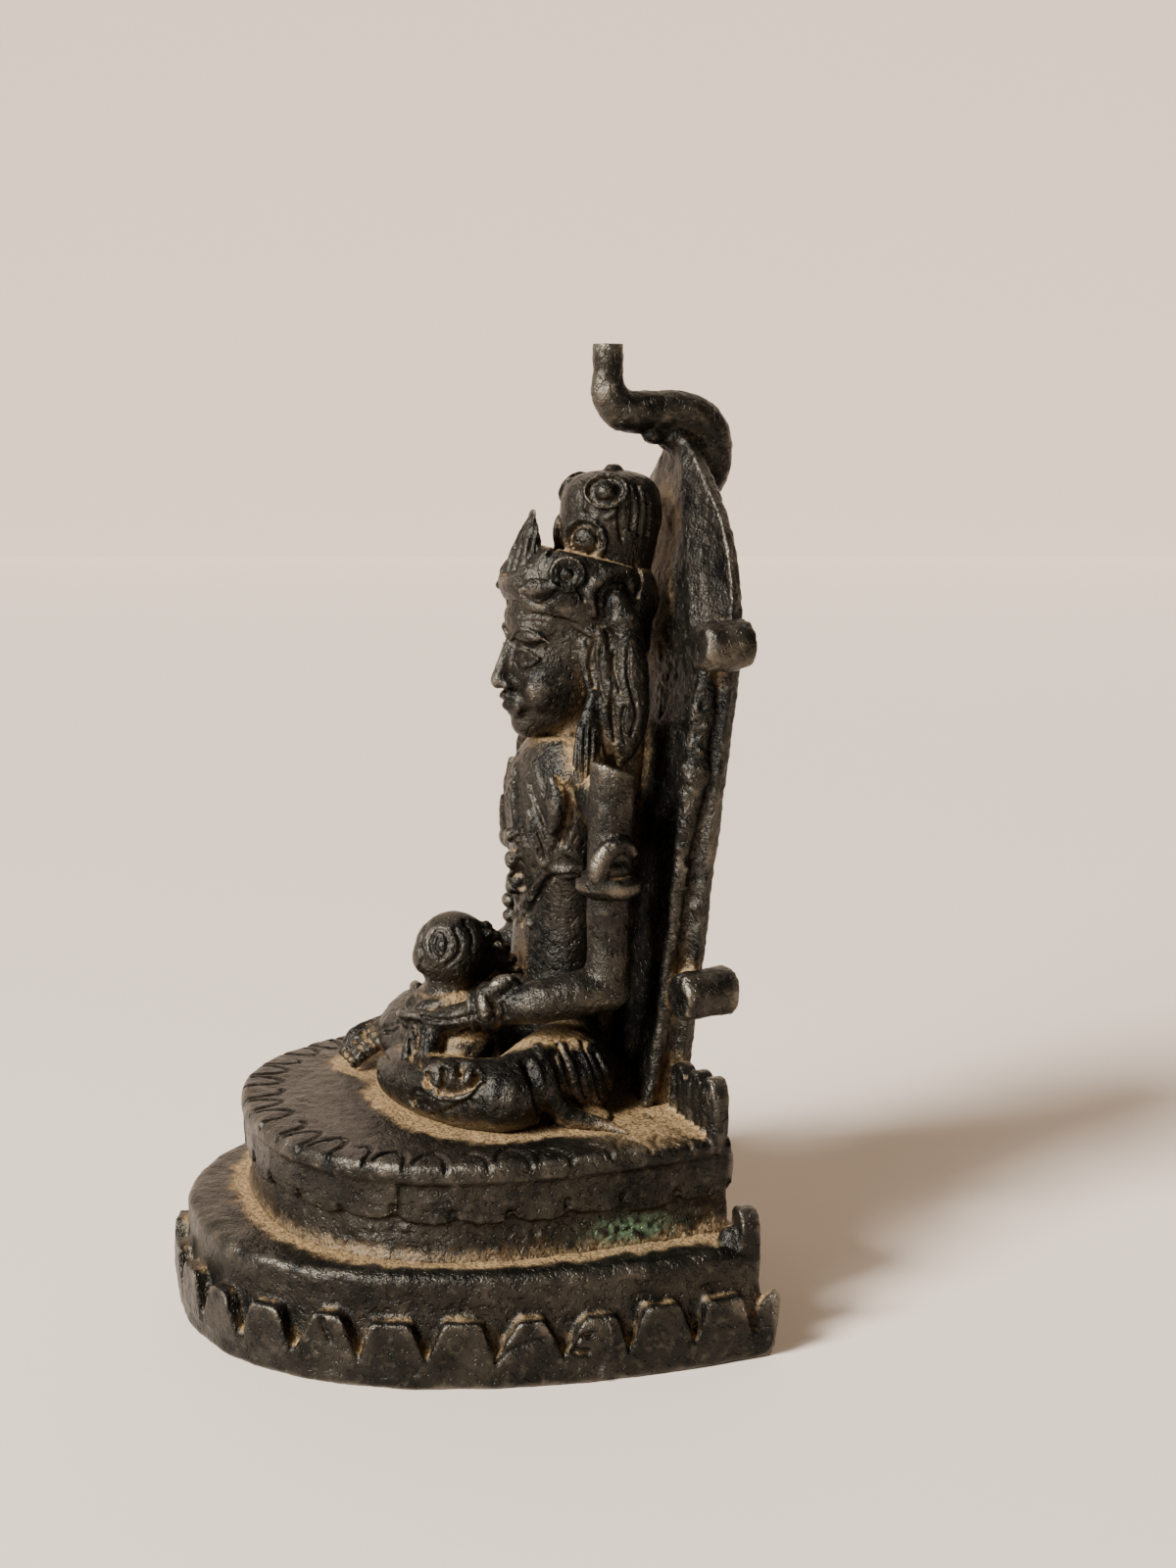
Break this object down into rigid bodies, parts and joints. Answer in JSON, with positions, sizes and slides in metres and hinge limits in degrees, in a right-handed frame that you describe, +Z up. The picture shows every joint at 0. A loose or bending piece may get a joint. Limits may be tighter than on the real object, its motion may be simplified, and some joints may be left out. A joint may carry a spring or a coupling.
{
  "type": "seated mother and child statue with back plate",
  "caption": "Small cast bronze of a seated mother holding a child on her lap, in front of a leaf shaped back plate on a stepped lotus pedestal.",
  "frame": {"origin": "middle of the footprint's bounding box, on the table plane", "axes": "+X to the figure's left, -Y the way the figure faces, +Z up"},
  "size_m": [0.127, 0.1244, 0.2],
  "materials": {
    "bronze": "dark brown black patina, satin, with ochre dirt in the recesses"
  },
  "bodies": {
    "root": {"hariti_statue": "bronze"}
  },
  "joints": []
}
